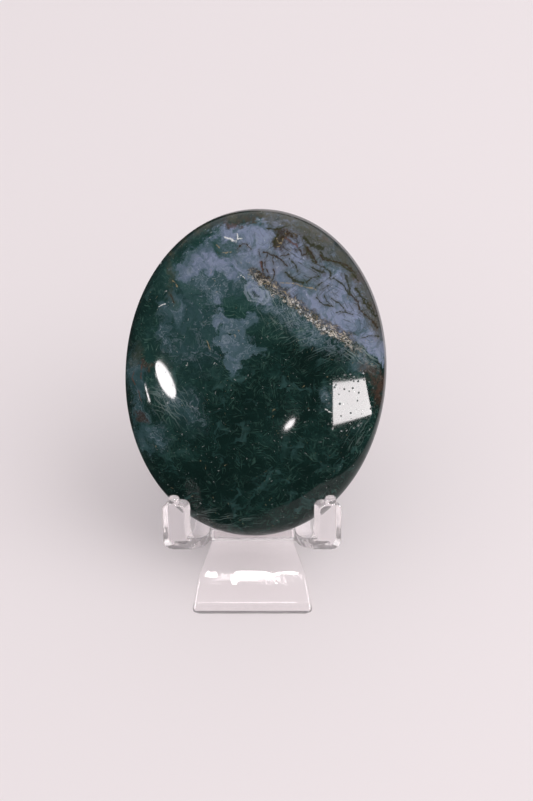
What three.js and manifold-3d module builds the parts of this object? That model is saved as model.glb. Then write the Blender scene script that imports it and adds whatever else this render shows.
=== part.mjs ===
// A polished moss agate palm stone that leans in a small two-piece easel of clear plastic.
// Millimetres. +X is right, +Y runs away from the viewer, +Z is up and Z = 0 is the table.
// Places are measured from the middle of the easel's front foot, and the whole group is
// moved at the end so that its origin is below the middle of its box.

import * as THREE from 'three';
import { mergeVertices } from 'three/addons/utils/BufferGeometryUtils.js';
import Module from 'manifold-3d';

const gap = 0.3; // clearance between pieces that touch

// Stone
const stoneHalfWidth = 27.4;
const stoneHalfLength = 34.55;
const stoneHalfThickness = 10;
const stoneOutlinePower = 2.04; // 2 is a true ellipse
const stoneEdgePower = 3; // 2 is a true ellipsoid, more gives flatter faces and a tighter rim
const stoneLean = 35; // degrees back from upright
const stoneTurn = -8; // degrees, the face looks a little to the left
const stoneRoll = 4.3; // degrees, the top leans to the right
const stoneCentre = new THREE.Vector3(0.65, 34.59, 37.31);
const stoneDetail = 13;

// Back rest: one bent plate, from the front foot under the stone and up behind it
const plateThickness = 2.2;
const plateChamfer = 0.6;
const chamferShare = 0.4; // at most this share of the plate's thickness is chamfered
const seatTop = 5.3;
const toeHeight = 0.5;
const toeHalfWidth = 12.8;
const toeCorner = 1.2;
const toeRings = [0.3, 1.2, 2.2]; // sections this far up the foot make its rounded toe
const footBendFromToe = 6.8;
const footBendHalfWidth = 11.4;
const neckFromToe = 16.8;
const neckHalfWidth = 8.7;
const bendReach = 2.6; // how far each bend eats into its straight parts
const bendSteps = 6;
const restHalfWidth = 8.4;
const restLength = 44;
const restCorner = 3.0;
const restRings = [3.0, 1.5, 0.45, 0]; // sections this far from the end make its rounded top

// Cradle: two upturned lips on side bars, a front bar and a rear bar across, and a rear foot
const lipLean = 16; // degrees back from upright
const lipFoot = new THREE.Vector2(7.5, 12.4); // lower edge: distance from the toe, height
const lipInner = 13.95; // from the middle plane to the lip's inner edge
const lipWidth = 4.7;
const lipHeight = 10.9;
const lipThickness = 2.56;
const lipFlare = 1.4; // the inner edge widens downwards by this much
const lipSkew = 0.46; // the lips run this much inwards per millimetre backwards
const lipInnerCorner = 1.7;
const lipOuterCorner = 0.8;
const lipLowerCorner = 2.2;
const lipFlareTop = 4.9; // height on the lip where the flare starts
const lipFlareBend = 2.2;
const curveSteps = 8;
const pegRadius = 1.18;
const pegHeight = 1.1;
const pegOutward = 0.5; // from the middle of the lip
const pegSunk = 0.6; // how deep the peg goes into the lip
const pegSides = 28;
const barInner = 9.05; // from the middle plane to the side bar's inner face
const barWidth = 3.1;
const barThickness = 2.1;
const armWidth = 4.6; // the front part of each side bar, where it curves up to its lip
const armThickness = 3.2;
const armSteps = 6;
const armStart = new THREE.Vector3(13.05, 8.3, 11.7); // inner lower edge at the lip
const neckLow = 4.7; // lower face of the side bar beside the plate's neck
const neckWidth = 3.4;
const neckThickness = 2.5;
const frontBarFromToe = 15.8;
const frontBarDepth = 2.6;
const frontBarThickness = 1.0;
const crossBarReach = 10.2; // the front bar and the rear bar end inside the side bars
const rearBarDepth = 2.5;
const rearBarLow = 3.4;
const rearBarThickness = 2.0;
const rearFootFromToe = 56;
const rearFootDepth = 5;

const wasm = await Module();
wasm.setup();

function radians(degrees) {
  return THREE.MathUtils.degToRad(degrees);
}

// Leaves only merged positions, with every face pointing outwards
function closedBody(geometry) {
  geometry.deleteAttribute('normal');
  geometry.deleteAttribute('uv');
  const body = mergeVertices(geometry, 1e-4);
  const place = body.attributes.position;
  const corners = body.index.array;
  const [a, b, c] = [new THREE.Vector3(), new THREE.Vector3(), new THREE.Vector3()];
  let volume = 0;
  for (let i = 0; i < corners.length; i += 3) {
    a.fromBufferAttribute(place, corners[i]);
    b.fromBufferAttribute(place, corners[i + 1]);
    c.fromBufferAttribute(place, corners[i + 2]);
    volume += a.dot(b.cross(c));
  }
  if (volume < 0) {
    for (let i = 0; i < corners.length; i += 3) {
      [corners[i], corners[i + 1]] = [corners[i + 1], corners[i]];
    }
  }
  body.computeVertexNormals();
  return body;
}

function toSolid(geometry) {
  const body = closedBody(geometry);
  const vertProperties = new Float32Array(body.attributes.position.array);
  const triVerts = new Uint32Array(body.index.array);
  return new wasm.Manifold(new wasm.Mesh({ numProp: 3, vertProperties, triVerts }));
}

function toGeometry(solid) {
  const mesh = solid.getMesh();
  const geometry = new THREE.BufferGeometry();
  geometry.setAttribute('position', new THREE.BufferAttribute(mesh.vertProperties, 3));
  geometry.setIndex(new THREE.BufferAttribute(mesh.triVerts, 1));
  return closedBody(geometry);
}

// Joins rings of the same number of points into one closed body with flat ends
function ringBody(rings) {
  const count = rings[0].length;
  const points = rings.flat();
  const corners = [];
  for (let r = 0; r < rings.length - 1; r += 1) {
    for (let i = 0; i < count; i += 1) {
      const here = r * count + i;
      const beside = r * count + ((i + 1) % count);
      corners.push(here, beside, beside + count, here, beside + count, here + count);
    }
  }
  const last = (rings.length - 1) * count;
  for (let i = 1; i < count - 1; i += 1) {
    corners.push(0, i + 1, i, last, last + i, last + i + 1);
  }
  const geometry = new THREE.BufferGeometry().setFromPoints(points);
  geometry.setIndex(corners);
  return geometry;
}

// The stone is a ball stretched to a superellipsoid: an oval outline, flattish faces, a round rim
function stoneGeometry() {
  const ball = closedBody(new THREE.IcosahedronGeometry(1, stoneDetail));
  const place = ball.attributes.position;
  const point = new THREE.Vector3();
  for (let i = 0; i < place.count; i += 1) {
    point.fromBufferAttribute(place, i);
    const across = Math.abs(point.x) ** stoneOutlinePower;
    const along = Math.abs(point.y) ** stoneOutlinePower;
    const outline = (across + along) ** (stoneEdgePower / stoneOutlinePower);
    const reach = (outline + Math.abs(point.z) ** stoneEdgePower) ** (-1 / stoneEdgePower);
    point.multiplyScalar(reach);
    point.multiply(new THREE.Vector3(stoneHalfWidth, stoneHalfLength, stoneHalfThickness));
    place.setXYZ(i, point.x, point.y, point.z);
  }
  return closedBody(ball);
}

// Local x runs across the stone, y along it and z out of its face
function placeStone(mesh) {
  const upright = new THREE.Matrix4().makeRotationX(radians(90 - stoneLean));
  const turned = new THREE.Matrix4().makeRotationY(radians(stoneTurn));
  const rolled = new THREE.Matrix4().makeRotationZ(radians(-stoneRoll));
  mesh.quaternion.setFromRotationMatrix(upright.multiply(turned).multiply(rolled));
  mesh.position.copy(stoneCentre);
}

// How far the placed stone reaches along a direction
function stoneReach(direction) {
  const place = stone.geometry.attributes.position;
  const point = new THREE.Vector3();
  let reach = -Infinity;
  for (let i = 0; i < place.count; i += 1) {
    point.fromBufferAttribute(place, i).applyMatrix4(stone.matrixWorld);
    reach = Math.max(reach, point.dot(direction));
  }
  return reach;
}

// The back rest leans as the stone does, just behind its back: where its plane meets the seat
function backRestStart() {
  const lean = radians(stoneLean);
  const reach = stoneReach(new THREE.Vector3(0, Math.cos(lean), -Math.sin(lean))) + gap;
  return (reach + seatTop * Math.sin(lean)) / Math.cos(lean);
}

// Upper line of the bent plate, seen from the side: distance from the toe and height
function plateLine() {
  const lean = radians(stoneLean);
  const footSlope = Math.atan2(seatTop - toeHeight, footBendFromToe);
  const back = backRestStart();
  const rise = new THREE.Vector2(Math.sin(lean), Math.cos(lean));
  const line = new THREE.Path();
  line.moveTo(0, toeHeight);
  for (const along of toeRings) {
    line.lineTo(along * Math.cos(footSlope), toeHeight + along * Math.sin(footSlope));
  }
  const bendStart = new THREE.Vector2(footBendFromToe, seatTop);
  bendStart.addScaledVector(new THREE.Vector2(Math.cos(footSlope), Math.sin(footSlope)), -bendReach);
  line.lineTo(bendStart.x, bendStart.y);
  line.quadraticCurveTo(footBendFromToe, seatTop, footBendFromToe + bendReach, seatTop);
  line.lineTo(neckFromToe, seatTop);
  line.lineTo(back - bendReach, seatTop);
  line.quadraticCurveTo(back, seatTop, back + bendReach * rise.x, seatTop + bendReach * rise.y);
  for (const left of restRings) {
    const along = restLength - left;
    line.lineTo(back + along * rise.x, seatTop + along * rise.y);
  }
  return line.getPoints(bendSteps);
}

function cornerCut(left, radius) {
  const inside = Math.max(radius - left, 0);
  return radius - Math.sqrt(radius * radius - inside * inside);
}

function plateHalfWidth(point, fromToe, fromEnd) {
  const { mapLinear } = THREE.MathUtils;
  let half = restHalfWidth;
  if (point.x < footBendFromToe) {
    half = mapLinear(point.x, 0, footBendFromToe, toeHalfWidth, footBendHalfWidth);
  } else if (point.x <= neckFromToe) {
    half = mapLinear(point.x, footBendFromToe, neckFromToe, footBendHalfWidth, neckHalfWidth);
  }
  return half - cornerCut(fromToe, toeCorner) - cornerCut(fromEnd, restCorner);
}

function plateRing(top, bottom, half) {
  const chamfer = Math.min(plateChamfer, chamferShare * top.distanceTo(bottom));
  const shoulder = top.clone().lerp(bottom, chamfer / top.distanceTo(bottom));
  const outline = [
    [-half, bottom], [half, bottom], [half, shoulder],
    [half - chamfer, top], [chamfer - half, top], [-half, shoulder],
  ];
  return outline.map(([x, side]) => new THREE.Vector3(x, side.x, side.y));
}

function backRestGeometry() {
  const line = plateLine();
  const lengths = [0];
  for (let i = 1; i < line.length; i += 1) {
    lengths.push(lengths[i - 1] + line[i].distanceTo(line[i - 1]));
  }
  const whole = lengths[lengths.length - 1];
  const rings = line.map((top, i) => {
    const before = line[Math.max(i - 1, 0)];
    const after = line[Math.min(i + 1, line.length - 1)];
    const along = after.clone().sub(before).normalize();
    const down = i === 0 ? new THREE.Vector2(0, -1) : new THREE.Vector2(along.y, -along.x);
    const toTable = down.y < 0 ? -top.y / down.y : Infinity;
    const bottom = top.clone().addScaledVector(down, Math.min(plateThickness, toTable));
    return plateRing(top, bottom, plateHalfWidth(top, lengths[i], whole - lengths[i]));
  });
  return closedBody(ringBody(rings));
}

// Front view of one lip: x from its inner edge outwards, y up from its lower edge
function lipOutline() {
  const quarter = Math.PI / 2;
  const outline = new THREE.Shape();
  outline.moveTo(-lipFlare, 0);
  outline.lineTo(lipWidth - lipLowerCorner, 0);
  outline.absarc(lipWidth - lipLowerCorner, lipLowerCorner, lipLowerCorner, -quarter, 0);
  outline.lineTo(lipWidth, lipHeight - lipOuterCorner);
  outline.absarc(lipWidth - lipOuterCorner, lipHeight - lipOuterCorner, lipOuterCorner, 0, quarter);
  outline.lineTo(lipInnerCorner, lipHeight);
  outline.absarc(lipInnerCorner, lipHeight - lipInnerCorner, lipInnerCorner, quarter, 2 * quarter);
  outline.lineTo(0, lipFlareTop);
  outline.quadraticCurveTo(0, lipFlareBend, -lipFlare, 0);
  return outline;
}

// A point of a lip in the easel: across from the inner edge, up and back
function lipPoint(side, across, up, back) {
  const lean = radians(lipLean);
  return new THREE.Vector3(
    side * (lipInner + across - lipSkew * back),
    lipFoot.x + up * Math.sin(lean) + back * Math.cos(lean),
    lipFoot.y + up * Math.cos(lean) - back * Math.sin(lean),
  );
}

function lipSolid(side) {
  const settings = { depth: lipThickness, bevelEnabled: false, curveSegments: curveSteps };
  const plate = new THREE.ExtrudeGeometry(lipOutline(), settings);
  const place = plate.attributes.position;
  for (let i = 0; i < place.count; i += 1) {
    const point = lipPoint(side, place.getX(i), place.getY(i), place.getZ(i));
    place.setXYZ(i, point.x, point.y, point.z);
  }
  return toSolid(plate);
}

// A short round peg stands on each lip
function pegSolid(side) {
  const peg = new THREE.CylinderGeometry(pegRadius, pegRadius, pegHeight + pegSunk, pegSides);
  peg.rotateX(radians(90 - lipLean));
  const up = lipHeight + (pegHeight - pegSunk) / 2;
  const centre = lipPoint(side, lipWidth / 2 + pegOutward, up, lipThickness / 2);
  peg.translate(centre.x, centre.y, centre.z);
  return toSolid(peg);
}

// One upright section of a side bar, from its edges, its distance from the toe and its heights
function barRing(side, inner, outer, fromToe, low, high) {
  return [
    new THREE.Vector3(side * inner, fromToe, low), new THREE.Vector3(side * outer, fromToe, low),
    new THREE.Vector3(side * outer, fromToe, high), new THREE.Vector3(side * inner, fromToe, high),
  ];
}

// Each side bar curves down and inwards from its lip to the plate's neck,
// then runs straight to the rear foot
function sideBarSolid(side) {
  const { lerp } = THREE.MathUtils;
  const neckEnd = frontBarFromToe + frontBarDepth;
  const rings = [];
  for (let step = 0; step <= armSteps; step += 1) {
    const along = step / armSteps;
    const eased = Math.sin(along * Math.PI / 2);
    const inner = lerp(armStart.x, barInner, eased);
    const outer = inner + lerp(armWidth, neckWidth, along);
    const low = lerp(armStart.z, neckLow, eased);
    const high = low + lerp(armThickness, neckThickness, along);
    rings.push(barRing(side, inner, outer, lerp(armStart.y, neckEnd, along), low, high));
  }
  for (const fromToe of [rearFootFromToe, rearFootFromToe + rearFootDepth]) {
    rings.push(barRing(side, barInner, barInner + barWidth, fromToe, 0, barThickness));
  }
  return toSolid(ringBody(rings));
}

function crossBarSolid(fromToe, depth, low, thickness) {
  const bar = new THREE.BoxGeometry(2 * crossBarReach, depth, thickness);
  bar.translate(0, fromToe + depth / 2, low + thickness / 2);
  return toSolid(bar);
}

// The rear bar lies behind the foot of the back rest, which leans on it
function rearBarSolid() {
  const lean = radians(stoneLean);
  const plateBack = backRestStart() + plateThickness / Math.cos(lean);
  const fromToe = plateBack + (rearBarLow + rearBarThickness - seatTop) * Math.tan(lean) + gap;
  return crossBarSolid(fromToe, rearBarDepth, rearBarLow, rearBarThickness);
}

function cradleGeometry() {
  let cradle = crossBarSolid(frontBarFromToe, frontBarDepth, seatTop + gap, frontBarThickness);
  cradle = cradle.add(rearBarSolid());
  cradle = cradle.add(crossBarSolid(rearFootFromToe, rearFootDepth, 0, barThickness));
  for (const side of [-1, 1]) {
    cradle = cradle.add(sideBarSolid(side));
    cradle = cradle.add(lipSolid(side));
    cradle = cradle.add(pegSolid(side));
  }
  return toGeometry(cradle);
}

function plastic() {
  return new THREE.MeshStandardMaterial({
    color: 0xe6ecee, roughness: 0.06, metalness: 0, transparent: true, opacity: 0.4,
  });
}

const stoneMaterial = new THREE.MeshStandardMaterial({ color: 0x27403b, roughness: 0.08, metalness: 0 });
const stone = new THREE.Mesh(stoneGeometry(), stoneMaterial);
stone.name = 'moss_agate';
placeStone(stone);
stone.updateMatrixWorld(true);

const backRest = new THREE.Mesh(backRestGeometry(), plastic());
backRest.name = 'back_rest';

const cradle = new THREE.Mesh(cradleGeometry(), plastic());
cradle.name = 'cradle';

const part = new THREE.Group();
part.add(stone, backRest, cradle);
part.updateMatrixWorld(true);
const box = new THREE.Box3().setFromObject(part, true);
part.position.set(-(box.min.x + box.max.x) / 2, -(box.min.y + box.max.y) / 2, -box.min.z);
part.updateMatrixWorld(true);

export default part;
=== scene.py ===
import functools
import math

import bmesh
import bpy
from mathutils import Matrix, Vector


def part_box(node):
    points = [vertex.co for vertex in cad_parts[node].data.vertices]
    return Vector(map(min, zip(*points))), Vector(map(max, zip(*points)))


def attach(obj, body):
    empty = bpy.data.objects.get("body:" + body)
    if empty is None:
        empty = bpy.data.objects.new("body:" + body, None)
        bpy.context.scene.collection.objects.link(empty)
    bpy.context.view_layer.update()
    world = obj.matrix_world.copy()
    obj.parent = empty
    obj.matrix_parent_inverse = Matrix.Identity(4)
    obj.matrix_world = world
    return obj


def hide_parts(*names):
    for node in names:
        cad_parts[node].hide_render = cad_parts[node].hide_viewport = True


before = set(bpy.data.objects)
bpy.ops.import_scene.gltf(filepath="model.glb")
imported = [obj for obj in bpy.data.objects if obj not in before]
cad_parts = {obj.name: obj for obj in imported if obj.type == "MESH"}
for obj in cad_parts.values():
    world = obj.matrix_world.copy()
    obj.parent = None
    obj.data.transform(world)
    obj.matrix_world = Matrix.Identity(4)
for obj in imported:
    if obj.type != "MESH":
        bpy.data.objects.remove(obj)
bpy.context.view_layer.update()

mm = 0.001
stoneBox = [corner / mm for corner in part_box("moss_agate")]
stoneMiddle = (stoneBox[0] + stoneBox[1]) / 2


# Colours were judged as screen colours, the renderer wants linear ones
def paint(red, green, blue):
    def linear(level):
        share = level / 255
        return share / 12.92 if share <= 0.04045 else ((share + 0.055) / 1.055) ** 2.4
    return (linear(red), linear(green), linear(blue), 1.0)


# A number, a place or a colour on its way through a node tree: what is done to it adds nodes
class Wire:
    def __init__(self, tree, socket):
        self.tree = tree
        self.socket = socket

    def __add__(self, other):
        return self.tree.math("ADD", self, other)

    __radd__ = __add__

    def __sub__(self, other):
        return self.tree.math("SUBTRACT", self, other)

    def __rsub__(self, other):
        return self.tree.math("SUBTRACT", other, self)

    def __mul__(self, other):
        return self.tree.math("MULTIPLY", self, other)

    __rmul__ = __mul__

    def __truediv__(self, other):
        return self.tree.math("DIVIDE", self, other)

    def __rtruediv__(self, other):
        return self.tree.math("DIVIDE", other, self)

    def __pow__(self, other):
        return self.tree.math("POWER", self, other)

    def __abs__(self):
        return self.tree.math("ABSOLUTE", self)

    def larger(self, other):
        return self.tree.math("MAXIMUM", self, other)

    def smaller(self, other):
        return self.tree.math("MINIMUM", self, other)

    def fraction(self):
        return self.tree.math("FRACT", self)

    # Another output of the same node
    def other(self, name):
        return Wire(self.tree, self.socket.node.outputs[name])

    def vector(self, operation, *values, output=0):
        inputs = dict(enumerate((self, *values)))
        return self.tree.add("ShaderNodeVectorMath", inputs, output, operation=operation)

    def scaled(self, factor):
        return self.tree.add("ShaderNodeVectorMath", {0: self, "Scale": factor}, operation="SCALE")

    def length(self):
        return self.vector("LENGTH", output="Value")

    def dot(self, other):
        return self.vector("DOT_PRODUCT", other, output="Value")

    def parts(self):
        split = self.tree.add("ShaderNodeSeparateXYZ", {0: self})
        return [split.other(axis) for axis in range(3)]

    # The place on the stone's middle plane, below or above this one
    def flattened(self):
        return self.vector("MULTIPLY", (1, 1, 0))

    # 0 below low and 1 above high, with a soft change between
    def step(self, low, high, bottom=0, top=1):
        inputs = {0: self, 1: low, 2: high, 3: bottom, 4: top}
        return self.tree.add("ShaderNodeMapRange", inputs, interpolation_type="SMOOTHSTEP")

    # This share of one colour over another
    def mix(self, under, over):
        return self.tree.add("ShaderNodeMix", {0: self, 6: under, 7: over}, 2, data_type="RGBA")

    def ramp(self, places, colours):
        return self.tree.add("ShaderNodeValToRGB", {0: self}, stops=list(zip(places, colours)))

    def noise(self, scale, detail=2, rough=0.5, swirl=0, output=0):
        return self.tree.add("ShaderNodeTexNoise", {
            "Vector": self, "Scale": scale, "Detail": detail, "Roughness": rough, "Distortion": swirl,
        }, output)

    # How far the middle of the nearest of many scattered cells is, in cells
    def cells(self, perMm):
        return self.tree.add("ShaderNodeTexVoronoi", {"Vector": self, "Scale": perMm}, "Distance")


# The largest of several numbers, joined one by one as they are made
def largest(wires):
    return functools.reduce(Wire.larger, wires)


class Tree:
    def __init__(self, owner):
        self.nodes = owner.nodes
        self.links = owner.links

    # Settings go in first, because some of them change the sockets
    def add(self, kind, values=None, output=0, **settings):
        node = self.nodes.new(kind)
        for name, value in settings.items():
            if name == "stops":
                self.setStops(node.color_ramp, value)
            else:
                setattr(node, name, value)
        for name, value in (values or {}).items():
            if isinstance(value, Wire):
                self.links.new(value.socket, node.inputs[name])
            else:
                node.inputs[name].default_value = value
        return Wire(self, node.outputs[output])

    def setStops(self, ramp, stops):
        while len(ramp.elements) < len(stops):
            ramp.elements.new(1)
        for element, (place, colour) in zip(ramp.elements, stops):
            element.position = place
            element.color = colour

    def math(self, operation, *values):
        return self.add("ShaderNodeMath", dict(enumerate(values)), operation=operation)

    # Joins the last wire to the output node of the whole tree
    def finish(self, last, kind="ShaderNodeOutputMaterial", name="Surface"):
        self.links.new(last.socket, self.nodes.new(kind).inputs[name])


# Noise about zero, mostly between -1 and 1
def swing(where, scale, detail=3.0, rough=0.6, swirl=0.0):
    return (where.noise(scale, detail, rough, swirl) - 0.5) * 5.0


# Moves each place by about reach, in lumps of 1 / scale
def wobble(where, scale, reach, detail=2):
    push = where.noise(scale, detail, output=1).vector("SUBTRACT", (0.5, 0.5, 0.5))
    return where.vector("ADD", push.scaled(6 * reach))


def newMaterial(name):
    material = bpy.data.materials.new(name)
    material.use_nodes = True
    material.node_tree.nodes.clear()
    return material, Tree(material.node_tree)


def newObject(name, data):
    item = bpy.data.objects.new(name, data)
    bpy.context.collection.objects.link(item)
    return item


# Keeps what the modifiers make as a plain mesh
def settle(piece):
    evaluated = piece.evaluated_get(bpy.context.evaluated_depsgraph_get())
    mesh = bpy.data.meshes.new_from_object(evaluated)
    piece.modifiers.clear()
    piece.data = mesh


def finishPiece(piece, node):
    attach(piece, "root")
    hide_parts(node)


# Camera
cameraSettings = {
    "lens": 89.9, "down": 45, "distance": 420, "right": 2.33, "lower": 5.6, "near": 10, "far": 20000,
}


def makeCamera(settings):
    data = bpy.data.cameras.new("camera")
    data.lens = settings["lens"]
    data.clip_start = settings["near"] * mm
    data.clip_end = settings["far"] * mm
    camera = newObject("camera", data)
    tilt = math.radians(settings["down"])
    view = Vector((0, math.cos(tilt), -math.sin(tilt)))
    up = Vector((0, math.sin(tilt), math.cos(tilt)))
    place = stoneMiddle - view * settings["distance"] - up * settings["lower"]
    place.x += settings["right"]
    camera.location = place * mm
    camera.rotation_euler = (math.pi / 2 - tilt, 0, 0)
    bpy.context.scene.camera = camera
    return place


cameraPlace = makeCamera(cameraSettings)
print("camera at", [round(value, 1) for value in cameraPlace], "mm")

# The stone: a ball pushed out to a superellipsoid, in its own millimetres, then stood in the easel
stone = {
    "rounds": 7,
    "halfSize": (27.4, 34.55, 10.0),
    "outlinePower": 2.04,
    "edgePower": 3.0,
    "lean": 35.0,
    "turn": -8.0,
    "roll": 4.3,
    "unevenness": 0.03,
    "unevenScale": 0.07,
}


def stoneTurn(settings):
    upright = Matrix.Rotation(math.radians(90 - settings["lean"]), 3, "X")
    turned = Matrix.Rotation(math.radians(settings["turn"]), 3, "Y")
    rolled = Matrix.Rotation(math.radians(-settings["roll"]), 3, "Z")
    return upright @ turned @ rolled


def stoneTree(inputs):
    group = bpy.data.node_groups.new("pebble", "GeometryNodeTree")
    for name, (kind, value) in inputs.items():
        group.interface.new_socket(name, in_out="INPUT", socket_type="NodeSocket" + kind)
    group.interface.new_socket("Geometry", in_out="OUTPUT", socket_type="NodeSocketGeometry")
    tree = Tree(group)
    given = tree.add("NodeGroupInput").other
    ball = tree.add("GeometryNodeMeshIcoSphere", {"Radius": 1, "Subdivisions": given("Rounds")})
    place = tree.add("GeometryNodeInputPosition")
    x, y, z = place.parts()
    outlinePower = given("Outline power")
    edgePower = given("Edge power")
    outline = (abs(x) ** outlinePower + abs(y) ** outlinePower) ** (edgePower / outlinePower)
    reach = (outline + abs(z) ** edgePower) ** (-1 / edgePower)
    pushed = place.scaled(reach).vector("MULTIPLY", given("Half size"))
    lumps = pushed.noise(given("Uneven scale"), 1) - 0.5
    uneven = place.scaled(lumps * given("Unevenness"))
    shaped = tree.add("GeometryNodeSetPosition", {"Geometry": ball, "Position": pushed.vector("ADD", uneven)})
    stood = tree.add("GeometryNodeTransform", {
        "Geometry": tree.add("GeometryNodeTransform", {"Geometry": shaped, "Rotation": given("Turn")}),
        "Translation": given("Middle"),
    })
    sized = tree.add("GeometryNodeTransform", {"Geometry": stood, "Scale": (mm, mm, mm)})
    smooth = tree.add("GeometryNodeSetShadeSmooth", {"Geometry": sized})
    real = tree.add("GeometryNodeRealizeInstances", {"Geometry": smooth})
    last = tree.add("GeometryNodeSetMaterial", {"Geometry": real, "Material": given("Material")})
    tree.finish(last, "NodeGroupOutput", "Geometry")
    return group


# Runs a Geometry Nodes tree once and keeps its result as a plain mesh
def growMesh(name, group, inputs):
    piece = newObject(name, bpy.data.meshes.new(name))
    modifier = piece.modifiers.new("shape", "NODES")
    modifier.node_group = group
    for item in group.interface.items_tree:
        if item.in_out == "INPUT":
            modifier[item.identifier] = inputs[item.name][1]
    settle(piece)
    return piece


# The stone's colours, from the front: all places are millimetres across and up its face
tones = {
    "moss": [paint(6, 17, 15), paint(13, 34, 30), paint(29, 58, 54), paint(56, 86, 84)],
    "haze": [paint(22, 44, 42), paint(35, 60, 61), paint(53, 77, 81),
             paint(72, 93, 102), paint(94, 109, 127), paint(124, 134, 158)],
    "fibre": paint(86, 118, 106),
    "veil": paint(50, 78, 76),
    "drab": paint(72, 71, 55),
    "umber": paint(52, 40, 33),
    "bed": paint(40, 35, 30),
    "grit": paint(104, 96, 86),
    "hair": paint(136, 152, 148),
    "brown": paint(56, 47, 36),
    "rust": paint(92, 62, 50),
    "olive": paint(50, 52, 36),
    "gold": paint(156, 140, 106),
    "cream": paint(226, 216, 200),
    "white": paint(222, 224, 222),
    "ring": paint(140, 152, 164),
}

# Across, up, half width, half height, turn in degrees, strength, soft edge
clouds = [
    (0.5, 28, 11.4, 4.3, -4, 1, 1),
    (-15.5, 21, 2.8, 2.4, 20, 0.8, 0.9),
    (-12.6, 24.6, 4, 2.5, 40, 0.76, 1),
    (-9.5, 23.2, 5.8, 2.2, -5, 0.92, 1),
    (-6.5, 21.7, 3.8, 1.8, -20, 0.86, 0.9),
    (-2, 24.5, 5.5, 3.2, 0, 0.95, 1.2),
    (-8, 17.3, 1.5, 2.6, 10, 0.62, 0.9),
    (-1.2, 20.6, 2.6, 1.2, -20, 0.7, 0.8),
    (0.3, 18.2, 3, 2, -20, 0.85, 0.7),
    (-6.8, 13.6, 1, 1, 0, 0.62, 0.4),
    (-6.3, 11.2, 1.6, 1.8, 0, 0.62, 0.4),
    (-3.5, 10.8, 3.2, 2.2, 0, 0.54, 0.5),
    (-5.3, 7.6, 2.6, 2, 0, 0.52, 0.4),
    (-2, 7.4, 3.2, 2.6, 0, 0.5, 0.4),
    (1.4, 6.8, 2, 1.2, 0, 0.38, 0.5),
    (-0.6, 12.2, 2, 1.8, 0, 0.54, 0.5),
    (-3.2, 4, 2.3, 2.2, 0, 0.6, 0.5),
    (-2.8, 1.6, 1.2, 1.2, 0, 0.5, 0.7),
    (-16, 13.2, 2.2, 4, 10, 0.46, 1.2),
    (-19, 12, 1.6, 3, 0, 0.44, 0.9),
    (-18.5, 8.2, 3, 2, 20, 0.4, 0.8),
    (-17.5, 6, 1.5, 1.2, 0, 0.42, 0.7),
    (-12, 9, 7, 9, -10, 0.28, 3),
    (-9.5, 19, 7.5, 4.5, 0, 0.5, 2),
    (10, 12.6, 9.5, 2.4, -32, 0.43, 2),
    (3.5, 16.2, 4, 2.5, -30, 0.44, 1.8),
    (22.5, 6, 3.5, 2, -50, 0.5, 1.6),
    (16.3, -2, 1.4, 2.2, 0, 0.36, 1),
    (-13.5, -6.5, 6, 4, -40, 0.34, 3),
    (-24, -2, 2.6, 6, 8, 0.38, 1.2),
    (-22.5, -10, 2.6, 3, 0, 0.4, 1.4),
    (-19, -13.5, 3.4, 2.6, 0, 0.42, 2),
    (-22.5, -16, 3, 3.5, 0, 0.36, 1.6),
]

# Dark mossy islands in the pale stone
islands = [
    (-3.8, 15.6, 2.7, 1.8, 20, 0.8, 0.7),
    (-5, 18.4, 2, 1.5, 0, 0.15, 0.9),
    (-12.5, 17, 1.8, 1.5, 0, 0.3, 1),
    (-0.4, 8.6, 0.9, 0.7, 0, 0.65, 0.3),
    (-4.5, 13.1, 1.6, 0.6, 0, 0.5, 0.3),
    (1.8, 11.3, 2, 1.6, 0, 0.85, 0.8),
    (3.4, 13.4, 1.6, 1.2, 0, 0.5, 0.9),
]

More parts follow.
